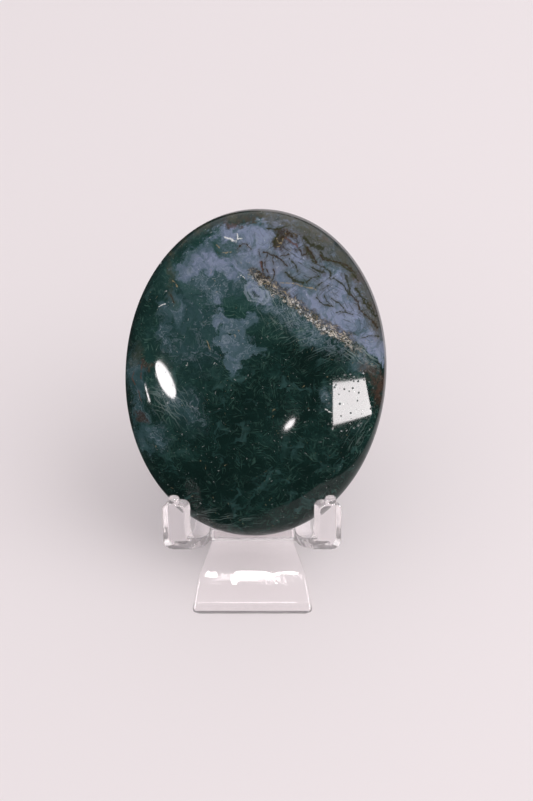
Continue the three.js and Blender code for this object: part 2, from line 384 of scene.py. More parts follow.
# Tinted hazes that lie over the pale stone
stains = {
    "veil": [
        (-7.5, 26.8, 3.8, 1.6, 0, 1, 0.8), (-3.5, 25.6, 2.2, 0.9, 10, 0.5, 0.8),
        (-1.8, 31.7, 2.6, 0.8, 0, 0.7, 0.6), (-14.5, 24, 3, 1.2, 60, 0.6, 1.2),
        (-1.6, 23.4, 2.8, 1.2, -30, 0.7, 0.9), (8, 22.4, 2.6, 1.4, -20, 0.45, 1.2),
        (-19.5, 22, 1.8, 5, 12, 0.8, 1.2),
    ],
    "drab": [
        (8.5, 30.6, 5.8, 1.7, -18, 0.9, 0.9), (1, 33.8, 7.5, 1.1, 0, 0.8, 0.6),
        (4.2, 28.8, 2.4, 2.2, 0, 0.6, 0.9), (10.3, 27, 2.4, 1.6, -30, 0.6, 1),
        (12.5, 29, 5, 2, -35, 0.7, 1.2), (17, 25.3, 4, 1.2, -45, 0.6, 1),
        (21.5, 20.5, 3.4, 0.8, -55, 0.45, 0.9), (14, 27.6, 3, 1.2, -30, 0.55, 1),
        (4, 32.2, 4.5, 0.9, -8, 0.6, 0.6), (19, 22, 2.6, 0.9, -50, 0.45, 1),
        (23.5, 14.5, 1, 3.8, 32, 0.5, 1), (12.5, 21.5, 4, 1.4, -30, 0.3, 1.2),
        (2.5, 24, 2.6, 2.4, 0, 0.3, 1.4), (-24, 2, 1.5, 2.2, 0, 0.5, 1),
        (-18.9, 21, 0.7, 4.6, 18, 0.5, 0.7),
    ],
    "umber": [
        (3.8, 28.9, 1.5, 1.8, 10, 1, 0.5), (-6.2, 32.3, 4.2, 0.8, 14, 0.6, 0.6),
        (6.6, 29.1, 1.8, 0.5, -35, 0.7, 0.5), (9.8, 26.9, 1.3, 0.6, -50, 0.6, 0.5),
        (1.6, 20.9, 1.2, 0.6, -30, 0.7, 0.5), (-22.4, -10.5, 1.6, 1.1, -10, 1, 0.5),
        (12.6, 23.6, 1.1, 0.4, -20, 0.5, 0.4),
    ],
    "rust": [
        (-6.3, 31.6, 2.2, 0.5, 12, 0.6, 0.5), (-2.5, 33, 1.6, 0.4, 0, 0.5, 0.4),
        (26, 1, 1.1, 3.4, 0, 0.6, 0.8), (24.4, 4.2, 1.8, 0.7, -45, 0.5, 0.7),
        (5.4, 30.4, 1.1, 0.6, -30, 0.5, 0.4), (-22, 1.4, 0.9, 0.6, 40, 0.5, 0.5),
    ],
}

# Moss and stains that line the rim of the upper half, starting at this share of the way out
rimTints = {"start": 0.92, "full": 1, "lowest": 6, "strength": 0.75, "toOlive": 0.035}

# The polish, and the fine pits that show in what it mirrors where it is worn
polish = {
    "roughness": 0.05, "ior": 1.54, "pitsPerMm": 1.1, "pitEdge": 0.24, "pitFloor": 0.16, "pitLeast": 0.4,
    "pitRoughness": 0.6, "pitDepth": 0.03, "bump": 0.4, "unwornPits": 0.1,
    "worn": (21.3, -2.6, 5.4, 6.2, 0, 1, 0.8),
}

# A ringed eye in the pale stone, with a dark heart
eye = {"outer": (0.3, 18.3, 3.1, 2.1, -20), "heart": (0, 17.9, 0.8, 0.45, -30), "rings": (0.35, 1.1)}

# The vein runs down to the right, and is the lower edge of the upper mass of pale stone
vein = {
    "path": [(-0.6, 22.1), (3.6, 20), (7.2, 17.8), (10.5, 15.4), (13.6, 13.3),
             (16.9, 11.9), (19.4, 10.6), (23, 8), (26.5, 3.5)],
    "reach": 1.5,
    "strandShift": (-0.25, -0.45),
    "strandReach": 1.15,
    "strands": [(-30, 1.7), (-50, 2.2)],
    "edgeStart": (0, 21.9),
    "edgeEnd": (24, 7.4),
    "fringe": (9, 14.2, 13.5, 2.6, -32, 1, 1.6),
    "bright": (13.5, 13.6, 7.5, 2.4, -32, 1, 1.2),
    "beadsPerMm": 2.1,
}

# Patches: direction in degrees, then the oval that the hairs fill
hairs = {
    "waves": (0.26, 4),
    "edge": (0.6, 0.72),
    "strength": 0.55,
    "patches": [
        # The first two patches lie round the mirrored oval lamp: their hairs are moss threads drawn as lit, a
        # painted halo of that highlight
        (-52, -15.6, -6.2, 4.6, 3.8, -40, 0.65, 1.6),
        (-12, -17, -5.5, 4, 3, 0, 0.6, 1.4),
        (62, 23.2, -9.5, 2.6, 4.5, -15, 0.34, 1.4),
        (-62, 4.5, 15, 5.5, 2.6, -30, 0.8, 1.4),
        (28, 10, 10.5, 8, 2.6, -30, 0.48, 1.8),
        (15, -3, -30, 6, 2, 0, 0.5, 1.4),
        (-35, 22.5, 7, 3.6, 2.6, -40, 0.9, 1.4),
    ],
}

# Where fine wires fill the pale stone
tangle = [
    (10, 25, 10.5, 5.5, -35, 1, 2),
    (20, 16, 7, 4, -55, 0.9, 1.6),
    (-5, 26.5, 5, 2, 0, 0.4, 1),
]

# How strongly the lines of a colour show, and how much wider than drawn they fade out
strokeStrength = {"olive": 0.9, "brown": 0.9, "rust": 0.65, "gold": 0.65, "white": 0.9}
strokeSpread = 1.6

# Lines of colour: half width, then the points that each runs through
strokes = {
    "olive": [
        (0.30, (9.5, 28), (10.4, 26.6), (11.5, 25.3)), (0.26, (5.8, 23), (7.5, 21.6), (9.5, 21.1)),
        (0.12, (10.2, 21.2), (11.2, 22.3), (12.5, 22.7)), (0.12, (12.2, 20.4), (13.3, 21.5)),
        (0.12, (13.5, 20.2), (14.7, 20.9)), (0.22, (11, 24.3), (12, 23.9), (13, 23.4), (13.5, 23.6)),
        (0.16, (13, 24.7), (14, 24.3)), (0.16, (15.5, 22.5), (17.5, 21.3), (18.5, 20), (19, 19.3)),
        (0.14, (17.6, 23.3), (18.2, 21.8)), (0.18, (22, 18.5), (23.2, 17), (24, 15.7)),
        (0.12, (16.8, 15.7), (18.5, 15.9), (20, 15.4)), (0.12, (14, 19), (15, 17.3), (16, 16.8)),
        (0.12, (22.3, 10.6), (23.5, 11.2), (25.5, 11)), (0.16, (6.2, 26), (7.6, 24.6), (8.3, 23.2)),
        (0.12, (15.5, 18.5), (17.2, 17.5), (18.4, 16.2)),
        (0.22, (20, 20.6), (21.4, 18.8), (22.6, 17), (24.4, 15)),
        (0.24, (18, 23), (18.5, 21.4), (19, 19.6)), (0.18, (14, 24.3), (14.8, 23.2), (15, 22.4)),
        (0.16, (12.4, 18.4), (13.8, 17.2), (15.4, 16.9)), (0.30, (8.6, 30), (10.2, 28.8), (12.6, 28.2)),
        (0.26, (12.4, 27.4), (13.2, 26.4), (16.4, 25.4)), (0.20, (16.8, 25), (18.6, 24), (20.2, 22.2)),
        (0.20, (3, 28.4), (2.8, 29.4), (3.4, 30.2)), (0.16, (1.2, 31.2), (3.6, 31.4), (5.2, 32.2)),
    ],
    "brown": [
        (0.14, (-4.4, 26.8), (-3.7, 27.8), (-2.9, 27.9), (-1.7, 27)),
        (0.18, (0.8, 26.7), (3, 26.2), (4.5, 25.5), (6, 24.2)), (0.14, (3, 26.2), (2.8, 25.2), (3.3, 24.3)),
        (0.14, (3.3, 23.5), (3.6, 22.2), (3.2, 21.2)), (0.12, (4.5, 26.2), (6, 26.6)),
        (0.12, (0, 27), (0.2, 25.7)), (0.16, (3.7, 29), (5.2, 31)),
        (0.14, (12.2, 27), (13, 26), (15, 26), (17, 25.3), (18.5, 24.5), (19.5, 23.5)),
        (0.20, (19.3, 19.2), (20.7, 18), (21.3, 16.5), (22.5, 15.5), (24, 14), (25, 12.8)),
        (0.12, (-18, 16.5), (-16.7, 14.5)), (0.12, (1.9, 26.5), (1.2, 24.6), (2.2, 22.6)),
        (0.22, (0.8, 24.6), (1.2, 22.4), (2.6, 20.4)), (0.20, (0.4, 22.6), (1.6, 21.4), (2.6, 21.8)),
        (0.20, (9.6, 28.2), (10.6, 27), (11.8, 25.4)), (0.16, (8.2, 27.6), (8.8, 26.8), (9.6, 27)),
        (0.20, (4.2, 29.6), (5.6, 30.8), (6.2, 30)),
    ],
    "rust": [
        (0.18, (5, 29.8), (7.5, 28.3)), (0.14, (0.5, 24.5), (1, 23), (1.4, 22)),
        (0.16, (-24.6, -0.8), (-25, -2.3), (-24.3, -3.5)), (0.14, (-23, 1), (-22.8, -2)),
        (0.14, (-23.3, -4.7), (-22.5, -6.8)),
    ],
    "gold": [
        (0.10, (5, 20.8), (8, 20.8), (10, 20.4), (12.3, 20)), (0.12, (-17.5, 19), (-16.3, 18)),
        (0.12, (-9.3, 7.7), (-8.3, 6)), (0.10, (-7.5, 25.7), (-6.5, 25.9), (-5.9, 26.1)),
        (0.14, (-9, 27.1), (-8.4, 26.7)), (0.10, (3.2, 29.4), (3.8, 28.6), (4.4, 28.9)),
        (0.10, (3.6, 27.9), (4.2, 28.2), (4.6, 29.6)),
    ],
    "white": [
        (0.22, (-7.5, 28.9), (-6.2, 28.5), (-5, 28.2)), (0.12, (-5, 29.6), (-4.7, 28.6), (-4, 28.9)),
        (0.10, (-3.9, 21.1), (-3.2, 21.6), (-2.4, 21.1)), (0.14, (-20, 13.4), (-18.8, 14)),
        # The first line here, a short one at the top-left rim, is a painted highlight, not a white mark in
        # the stone
        (0.26, (-21.7, 21.7), (-21, 22.4)), (0.10, (16, -4.2), (17.5, -4.8)),
    ],
}

# Straight fibres of the moss, and needles of the tangle: directions in degrees, then how fine they are
felt = {"turns": (12, 57, 101, 148), "waves": (0.42, 4.2), "edge": (0.6, 0.76), "curls": 0.3}
needles = {"turns": (-58, -24, 40), "waves": (0.3, 3.2), "edge": (0.62, 0.7), "strength": 0.62}


def cosineAndSine(turn):
    return math.cos(math.radians(turn)), math.sin(math.radians(turn))


# Millimetres inside the edge of an oval, which runs through the stone like a plug
def ovalDepth(where, across, up, halfWidth, halfHeight, turn):
    away = where.vector("SUBTRACT", (across, up, 0))
    cosine, sine = cosineAndSine(turn)
    wide = away.dot((cosine / halfWidth, sine / halfWidth, 0))
    high = away.dot((-sine / halfHeight, cosine / halfHeight, 0))
    local = where.tree.add("ShaderNodeCombineXYZ", {0: wide, 1: high})
    return (1 - local.length()) * min(halfWidth, halfHeight)


# The largest share that any of the ovals gives a place
def gather(where, ovals, ragged):
    def share(across, up, halfWidth, halfHeight, turn, strength, soft):
        depth = ovalDepth(where, across, up, halfWidth, halfHeight, turn) + ragged
        return depth.step(-soft, soft, 0, strength)

    return largest(share(*oval) for oval in ovals)


# How deep a place is inside a line of the given half width: 0 at its edge and 1 in its middle
def lineShare(where, halfWidth, *points):
    tree = where.tree

    def nearness(start, end):
        run = Vector((end[0] - start[0], end[1] - start[1], 0))
        away = where.vector("SUBTRACT", (start[0], start[1], 0))
        along = tree.add("ShaderNodeClamp", {0: away.dot(tuple(run / run.length_squared))})
        nearest = tree.add("ShaderNodeVectorMath", {0: tuple(run), "Scale": along}, operation="SCALE")
        return 1 - away.vector("SUBTRACT", nearest).length() / halfWidth

    return largest(nearness(*ends) for ends in zip(points, points[1:]))


# Noise drawn out along a direction in the face's plane: waves on a millimetre along it and across it
def drawnNoise(where, turn, along, across, detail=0):
    cosine, sine = cosineAndSine(turn)
    run = where.dot((cosine * along, sine * along, 0))
    side = where.dot((-sine * across, cosine * across, 0))
    depth = where.dot((0, 0, along * 2))
    drawn = where.tree.add("ShaderNodeCombineXYZ", {0: run, 1: side, 2: depth})
    return drawn.noise(1, detail, 0.6)


# Wandering lines: where a noise passes zero
def wires(where, scale, halfWidth, detail=4, swirl=1):
    return abs(swing(where, scale, detail, 0.6, swirl)).step(halfWidth, halfWidth * 0.4)


# The same place in other noise
def elsewhere(where, shift):
    return where.vector("ADD", (shift, shift * 0.7, shift * 0.3))


# 0 where there is only moss and 1 in the densest pale stone
def paleDensity(where, bent, flat, back):
    ragged = swing(where, 0.75, 5, 0.66) * 0.72
    front = gather(flat, clouds, ragged)
    start = Vector(vein["edgeStart"])
    slope = Vector(vein["edgeEnd"]) - start
    normal = Vector((-slope.y, slope.x)).normalized()
    above = flat.dot((normal.x, normal.y, 0)) - normal.dot(start)
    edge = above.smaller(flat.dot((1, 0, 0)) + 1.5)
    front = front.larger((edge + ragged).step(-0.6, 0.9, 0, 0.97))
    front = front * (1 - gather(flat, islands, ragged))
    behind = bent.noise(0.09, 4, 0.6).step(0.48, 0.62)
    density = front * (1 - back) + behind * back
    cloudy = swing(bent, 0.26, 5, 0.6, 0.6)
    return density + cloudy * (density + 0.14) * 0.24


# How light the moss is, and what changes that
mossTone = {
    "stops": (0, 0.34, 0.66, 1), "base": 0.28, "high": 0.08, "lumps": 0.12, "blotches": 0.08,
    "grain": 0.06, "left": 0.24, "felt": 0.45,
}


# Dark moss with lighter clouds in it, felted with fine straight threads
def mossColour(where, combed, bent):
    lumps = swing(bent, 0.1, 3, 0.6)
    blotches = swing(elsewhere(bent, 41), 0.38, 4, 0.66)
    grain = swing(bent, 1.3, 5, 0.72, 0.4)
    left = where.dot((-0.7, 0.7, 0)).step(-6, 18)
    left = left * where.dot((1, 0, 0)).step(-27, -21)
    high = where.dot((0, 1, 0)).step(-30, -6)
    tone = mossTone["base"] + high * mossTone["high"] + lumps * mossTone["lumps"]
    tone = tone + blotches * mossTone["blotches"] + grain * mossTone["grain"] + left * mossTone["left"]
    colour = tone.ramp(mossTone["stops"], tones["moss"])

    def fibres(turn):
        strands = drawnNoise(combed, turn, *felt["waves"]).step(*felt["edge"])
        patch = swing(elsewhere(where, turn), 0.4, 2).step(-0.1, 0.7)
        return strands * patch

    share = largest(fibres(turn) for turn in felt["turns"])
    curls = wires(elsewhere(bent, 7), 0.7, 0.07) * lumps.step(-0.2, 0.8)
    share = share.larger(curls * felt["curls"])
    return (share * tone.step(0.15, 0.65, 0.08, mossTone["felt"])).mix(colour, tones["fibre"])


# How light the pale stone is, and the marks in it
paleTone = {
    "stops": (0, 0.22, 0.42, 0.58, 0.78, 1), "fine": 0.02, "contours": 8, "lines": 0.42,
    "curls": 0.4, "dark": 0.4,
}


# Pale stone: cloudy, with wavy contour lines in it
def paleColour(bent, density, fine):
    colour = (density + fine * paleTone["fine"]).ramp(paleTone["stops"], tones["haze"])
    contours = density * paleTone["contours"] + swing(bent, 0.5, 2) * 0.5
    lines = abs(contours.fraction() - 0.5).step(0.32, 0.5)
    patch = swing(elsewhere(bent, 31), 0.16, 2).step(-0.6, 0.3)
    colour = (lines * patch * paleTone["lines"]).mix(colour, tones["ring"])
    curls = wires(elsewhere(bent, 37), 0.3, 0.08, 3)
    colour = (curls * density.step(0.35, 0.6) * paleTone["curls"]).mix(colour, tones["ring"])
    dark = swing(elsewhere(bent, 23), 0.5, 2.5, 0.6, 1).step(0.3, 1.1)
    return (dark * paleTone["dark"]).mix(colour, tones["veil"])


def makeStoneMaterial(turn):
    material, tree = newMaterial("moss_agate")
    coordinates = tree.add("ShaderNodeTexCoord", output="Object")
    where = tree.add("ShaderNodeMapping", {
        "Vector": coordinates, "Location": tuple(stoneMiddle * mm),
        "Rotation": tuple(turn.to_euler()), "Scale": (mm, mm, mm),
    }, vector_type="TEXTURE")
    depth = where.dot((0, 0, 1))
    back = depth.step(2, -3)
    swayed = wobble(where, 0.22, 1)
    combed = wobble(where, 0.3, 0.3)
    bent = wobble(swayed, 1, 0.35, 4)
    flat = bent.flattened()

    density = paleDensity(where, bent, flat, back)
    fine = swing(where, 3, 4, 0.7)
    moss = mossColour(where, combed, bent)
    pale = paleColour(bent, density, fine)
    cover = (density + fine * 0.06).step(0.02, 0.42)
    colour = cover.mix(moss, pale)

    front = 1 - back
    colour = addStains(where, flat, fine, front, colour)
    lines = wobble(where.flattened(), 1, 0.3, 4)
    colour = addEye(lines, fine, front, colour)
    colour = addThreads(where, bent, lines, front, colour)
    colour = addVein(where, bent, lines, front, colour)
    colour = addHairsAndPaintedHalo(where, combed, front, colour)
    colour = addSpecks(bent, colour)

    height = 1 - pitShare(where, front)
    bump = tree.add("ShaderNodeBump", {
        "Strength": polish["bump"], "Distance": polish["pitDepth"] * mm, "Height": height,
    })
    shader = tree.add("ShaderNodeBsdfPrincipled", {
        "Base Color": colour, "Roughness": polish["roughness"] + (1 - height) * polish["pitRoughness"],
        "IOR": polish["ior"], "Normal": bump,
    })
    tree.finish(shader)
    return material


# 1 in the cells that are used: this least share of them is left out
def chosen(cells, least):
    return cells.other("Color").parts()[0].step(least, least + 0.05)


# 1 in the middle of a pit and 0 on the polish
def pitShare(where, front):
    perMm, least, unworn = polish["pitsPerMm"], polish["pitLeast"], polish["unwornPits"]
    cells = where.cells(perMm)
    pick = chosen(cells, least)
    pits = (cells / perMm).step(polish["pitEdge"], polish["pitFloor"]) * pick
    return pits * (unworn + gather(where, [polish["worn"]], 0) * front * (1 - unworn))


# Green-grey veils drift through the pale stone, tinted hazes lie in their places, and moss lines the rim
def addStains(where, flat, fine, front, colour):
    drift = swing(elsewhere(flat, 17), 0.3, 3.5, 0.6, 0.8)
    colour = drift.step(0.15, 1.1, 0, 0.7).mix(colour, tones["veil"])
    ragged = swing(where, 0.9, 5, 0.68) * 0.7
    for name, ovals in stains.items():
        share = gather(flat, ovals, ragged) * (0.8 + fine * 0.25)
        colour = (share * front).mix(colour, tones[name])
    halfWidth, halfHeight = stone["halfSize"][:2]
    outward = where.vector("MULTIPLY", (1 / halfWidth, 1 / halfHeight, 0)).length()
    rim = (outward + ragged * 0.05).step(rimTints["start"], rimTints["full"], 0, rimTints["strength"])
    rim = rim * where.dot((0, 1, 0)).step(rimTints["lowest"], rimTints["lowest"] + 8)
    choice = swing(elsewhere(flat, 27), 0.16, 4, 0.65)
    choice = choice + where.dot((rimTints["toOlive"], 0, 0))
    tint = choice.step(-0.5, 0.1).mix(tones["haze"][0], tones["drab"])
    tint = choice.step(0.7, 1.3, 0, 0.7).mix(tint, tones["rust"])
    return (rim * front).mix(colour, tint)


# Pale rings with a dark heart
def addEye(lines, fine, front, colour):
    inward = ovalDepth(lines, *eye["outer"]) + fine * 0.12
    for depth in eye["rings"]:
        ring = abs(inward - depth).step(0.28, 0.06)
        colour = (ring * front * 0.5).mix(colour, tones["ring"])
    heart = (ovalDepth(lines, *eye["heart"]) + fine * 0.15).step(-0.2, 0.2)
    return (heart * front * 0.85).mix(colour, tones["haze"][0])


# Dendrites: a tangle of needles and fine wires in the upper right, and the listed lines
def addThreads(where, bent, lines, front, colour):
    zone = gather(lines, tangle, swing(where, 0.4, 3) * 1.5)
    patch = swing(elsewhere(where, 11), 0.33, 3).step(-0.3, 0.4)
    fineWires = wires(elsewhere(bent, 3), 0.4, 0.06, 3) * patch * 0.6
    for turn in needles["turns"]:
        drawn = drawnNoise(elsewhere(where, turn), turn, *needles["waves"], 1)
        fineWires = fineWires.larger(drawn.step(*needles["edge"]))
    shade = swing(where, 0.25).step(-0.1, 0.7).mix(tones["olive"], tones["brown"])
    colour = (fineWires * zone * front * needles["strength"]).mix(colour, shade)
    straight = wobble(where.flattened(), 1, 0.13, 3)
    thin = swing(where, 1.8, 4, 0.7) * 0.5
    for name, group in strokes.items():
        share = largest(lineShare(straight, half * strokeSpread, *points) for half, *points in group)
        if name in ("olive", "brown"):
            halo = (share + thin).step(-2.2, 0.4)
            colour = (halo * front * 0.3).mix(colour, tones["drab"])
        shown = (share + thin).step(0.1, 0.75) * front * strokeStrength[name]
        colour = shown.mix(colour, tones[name])
    return colour


# The vein: a gritty brown bed, pale strands that run along it, and paler lace in the moss below
def addVein(where, bent, lines, front, colour):
    band = lineShare(lines, vein["reach"], *vein["path"])
    ragged = swing(where, 0.55, 6, 0.74)
    fade = where.dot((1, 0, 0)).step(25, 18) * front
    bed = (band + ragged * 0.75).step(0, 0.6) * fade
    speckle = swing(elsewhere(where, 19), 1.2, 4, 0.7).step(-0.1, 0.8)
    colour = (bed * 0.72).mix(colour, speckle.mix(tones["bed"], tones["grit"]))
    fringe = gather(lines, [vein["fringe"]], ragged * 0.8)
    lace = wires(bent, 0.75, 0.2) * fringe * front
    colour = (lace * 0.38).mix(colour, tones["ring"])
    bright = gather(lines, [vein["bright"]], ragged * 0.5)
    beads = bent.cells(vein["beadsPerMm"])
    dots = (beads / vein["beadsPerMm"]).step(0.17, 0.08) * (band + ragged * 0.4).step(0, 0.5)
    colour = (dots * fade * 0.7).mix(colour, tones["gold"])
    shift = Vector(vein["strandShift"])
    under = lineShare(lines, vein["strandReach"], *[Vector(point) + shift for point in vein["path"]])

    def strandsAlong(direction, across):
        wave = drawnNoise(elsewhere(bent, direction), direction, 0.45, across, 1) - 0.5
        return abs(wave).step(0.042, 0.012)

    strands = largest(strandsAlong(*strand) for strand in vein["strands"])
    broken = swing(elsewhere(where, 33), 0.8, 3).step(-0.4, 0.5)
    strands = strands * broken * (under + ragged * 0.6).step(0, 0.6) * (0.25 + fade * 0.75)
    colour = (strands * (0.6 + bright * 0.32)).mix(colour, tones["cream"])
    flecks = swing(elsewhere(where, 13), 1.1, 4, 0.7).step(0.2, 0.5)
    core = (under + ragged * 0.5).step(0.25, 0.7) * fade
    return (flecks * core * bright * 0.85).mix(colour, tones["white"])


# Fine pale hairs that lie one way in their own part of the moss; round the mirrored oval lamp they also paint
# that highlight's halo, partly real threads and partly painted highlight
def addHairsAndPaintedHalo(where, combed, front, colour):
    def strands(direction, *oval):
        zone = gather(where, [oval], 0)
        return drawnNoise(combed, direction, *hairs["waves"]).step(*hairs["edge"]) * zone

    total = largest(strands(*patch) for patch in hairs["patches"])
    return (total * front * hairs["strength"]).mix(colour, tones["hair"])


# Colour, how many could lie on a millimetre, radius, and the share that is left out
specks = [("gold", 0.8, 0.12, 0.66), ("white", 1.3, 0.08, 0.62)]


def addSpecks(bent, colour):
    for name, perMm, radius, least in specks:
        cells = bent.cells(perMm)
        pick = chosen(cells, least)
        dot = (cells / perMm).step(radius * 1.4, radius * 0.5) * pick
        colour = (dot * 0.52).mix(colour, tones[name])
    return colour


def makeStone(settings):
    turn = stoneTurn(settings)
    material = makeStoneMaterial(turn)
    inputs = {
        "Rounds": ("Int", settings["rounds"]), "Half size": ("Vector", settings["halfSize"]),
        "Outline power": ("Float", settings["outlinePower"]), "Edge power": ("Float", settings["edgePower"]),
        "Unevenness": ("Float", settings["unevenness"]), "Uneven scale": ("Float", settings["unevenScale"]),
        "Middle": ("Vector", tuple(stoneMiddle)), "Turn": ("Rotation", tuple(turn.to_euler())),
        "Material": ("Material", material),
    }
    piece = growMesh("polished_stone", stoneTree(inputs), inputs)
    finishPiece(piece, "moss_agate")
    return piece


polishedStone = makeStone(stone)
print("stone", len(polishedStone.data.polygons), "faces")

plasticSettings = {
    "tint": (0.97, 0.94, 0.95, 1), "plainTint": (0.985, 0.98, 0.98, 1), "roughness": 0.05, "ior": 1.49,
    "clearness": 0.9, "waveScale": 160, "waveStrength": 0.3, "waveDepth": 0.3, "plainInMirrors": 0.75,
}


# Clear plastic, a little milky: light that only lights the scene goes straight through it
def makePlastic(settings):
    material, tree = newMaterial("clear_plastic")
    where = tree.add("ShaderNodeTexCoord", output="Object")
    waves = where.noise(settings["waveScale"], 3)
    bump = tree.add("ShaderNodeBump", {
        "Strength": settings["waveStrength"], "Distance": settings["waveDepth"] * mm, "Height": waves,
    })
    clear = tree.add("ShaderNodeBsdfPrincipled", {
        "Base Color": settings["tint"], "Roughness": settings["roughness"], "IOR": settings["ior"],
        "Transmission Weight": settings["clearness"], "Normal": bump,
    })
    plain = tree.add("ShaderNodeBsdfTransparent", {"Color": settings["plainTint"]})
    lightPath = tree.add("ShaderNodeLightPath")
    scattered = lightPath.other("Diffuse Depth").step(0, 1)
    outside = 1 - lightPath.other("Transmission Depth").step(0, 1)
    mirrored = lightPath.other("Glossy Depth").step(0, 1) * outside
    light = scattered.larger(mirrored * settings["plainInMirrors"])
    light = lightPath.other("Is Shadow Ray").larger(light)
    tree.finish(tree.add("ShaderNodeMixShader", {0: light, 1: clear, 2: plain}))
    return material


plastic = makePlastic(plasticSettings)

# The bent plate: places are millimetres behind the toe and above the table
restBox = [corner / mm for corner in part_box("back_rest")]
plate = {
    "thickness": 2.2, "edge": 0.8, "seatTop": 5.3, "toeHeight": 0.5, "toeHalfWidth": 12.8, "toeCorner": 1.4,
    "footBend": 6.8, "footBendHalfWidth": 11.4, "neck": 16.8, "neckHalfWidth": 8.7, "bendReach": 2.6,
    "restHalfWidth": 8.4, "restLength": 44, "restCorner": 3, "lean": 35, "step": 0.33, "footGap": 0.02,
    "toeEdge": 0.2, "bendSteps": 20,
}


# Points along the middle of the plate's upper face, seen from the side
def plateLine(settings):
    lean = math.radians(settings["lean"])
    rise = Vector((math.sin(lean), math.cos(lean)))
    top = settings["seatTop"]
    toe = Vector((0, settings["toeHeight"]))
    foot = Vector((settings["footBend"], top))
    length = restBox[1].y - restBox[0].y
    back = Vector((length - settings["restLength"] * rise.x - settings["thickness"] * rise.y, top))
    end = back + rise * settings["restLength"]
    level = Vector((1, 0))
    slope = (foot - toe).normalized()
    line = [toe]
    for corner, before, after in ((foot, slope, level), (back, level, rise)):
        first = corner - before * settings["bendReach"]
        last = corner + after * settings["bendReach"]
        addStraight(line, first, settings["step"])
        for step in range(1, settings["bendSteps"] + 1):
            share = step / settings["bendSteps"]
            line.append(first.lerp(corner, share).lerp(corner.lerp(last, share), share))
    addStraight(line, end, settings["step"])
    return line


def addStraight(line, end, step):
    start = line[-1]
    count = max(1, round((end - start).length / step))
    line.extend(start.lerp(end, turn / count) for turn in range(1, count + 1))


def plateHalfWidth(settings, place):
    toeHalf, bendHalf = settings["toeHalfWidth"], settings["footBendHalfWidth"]
    if place < settings["footBend"]:
        return toeHalf + (bendHalf - toeHalf) * place / settings["footBend"]
    if place < settings["neck"]:
        share = (place - settings["footBend"]) / (settings["neck"] - settings["footBend"])
        return bendHalf + (settings["neckHalfWidth"] - bendHalf) * share
    return settings["restHalfWidth"]


# How far a round corner of this radius pulls in, this far from its end
def cornerPull(left, radius):
    inside = max(radius - left, 0)
    return radius - math.sqrt(radius * radius - inside * inside)


# One closed section: across and down from the upper face, with round edges
def plateSection(half, thickness, edge, spans=24, turns=5):
    radius = min(edge, thickness * 0.45)
    points = []
    for cornerAcross, cornerDown, start in (
        (half - radius, radius, -90), (half - radius, thickness - radius, 0),
        (radius - half, thickness - radius, 90), (radius - half, radius, 180),
    ):
        for turn in range(turns + 1):
            angle = math.radians(start + 90 * turn / turns)
            points.append((cornerAcross + radius * math.cos(angle), cornerDown + radius * math.sin(angle)))
    upper = points[-1]
    first = points[0]
    for span in range(1, spans):
        points.append((upper[0] + (first[0] - upper[0]) * span / spans, 0))
    return points


def makePlate(settings):
    line = plateLine(settings)
    lengths = [0]
    for one, other in zip(line, line[1:]):
        lengths.append(lengths[-1] + (other - one).length)
    form = bmesh.new()
    rings = []
    middle = (restBox[0].x + restBox[1].x) / 2
    for index, top in enumerate(line):
        along = (line[min(index + 1, len(line) - 1)] - line[max(index - 1, 0)]).normalized()
        down = Vector((along.y, -along.x))
        toTable = -top.y / down.y if down.y < 0 else math.inf
        thickness = min(settings["thickness"], toTable)
        fromToe = lengths[index]
        fromEnd = lengths[-1] - fromToe
        half = plateHalfWidth(settings, top.x)
        half -= cornerPull(fromToe, settings["toeCorner"]) + cornerPull(fromEnd, settings["restCorner"])
        pull = cornerPull(fromToe, settings["toeEdge"]) + cornerPull(fromEnd, settings["edge"])
        ring = []
        for across, deep in plateSection(half - pull, thickness - 2 * pull, settings["edge"]):
            spot = top + down * (deep + pull)
            height = max(spot.y, settings["footGap"])
            ring.append(form.verts.new(Vector((middle + across, restBox[0].y + spot.x, height)) * mm))
        rings.append(ring)
    for one, other in zip(rings, rings[1:]):
        for index in range(len(one)):
            after = (index + 1) % len(one)
            form.faces.new((one[index], one[after], other[after], other[index]))
    form.faces.new(rings[0])
    form.faces.new(rings[-1])
    bmesh.ops.recalc_face_normals(form, faces=form.faces)
    mesh = bpy.data.meshes.new("bent_plate")
    for face in form.faces:
        face.smooth = True
    form.to_mesh(mesh)
    form.free()
    mesh.materials.append(plastic)
    piece = newObject("bent_plate", mesh)
    finishPiece(piece, "back_rest")
    return piece


bentPlate = makePlate(plate)
print("bent plate", len(bentPlate.data.polygons), "faces")

moulding = {"voxel": 0.17, "rounds": 6, "softness": 0.5, "joinWithin": 0.002}


# A moulded piece: the solid's own form with its edges melted round
def mouldPiece(name, node, settings):
    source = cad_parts[node]
    mesh = source.data.copy()
    mesh.transform(source.matrix_world)
    form = bmesh.new()
    form.from_mesh(mesh)
    bmesh.ops.remove_doubles(form, verts=form.verts, dist=settings["joinWithin"] * mm)
    form.to_mesh(mesh)
    form.free()
    piece = newObject(name, mesh)
    remesh = piece.modifiers.new("remesh", "REMESH")
    remesh.mode = "VOXEL"
    remesh.voxel_size = settings["voxel"] * mm
    remesh.use_smooth_shade = True
    smooth = piece.modifiers.new("smooth", "SMOOTH")
    smooth.factor = settings["softness"]
    smooth.iterations = settings["rounds"]
    settle(piece)
    piece.data.materials.clear()
    piece.data.materials.append(plastic)
    finishPiece(piece, node)
    return piece


lippedCradle = mouldPiece("lipped_cradle", "cradle", moulding)
print("lipped cradle", len(lippedCradle.data.polygons), "faces")
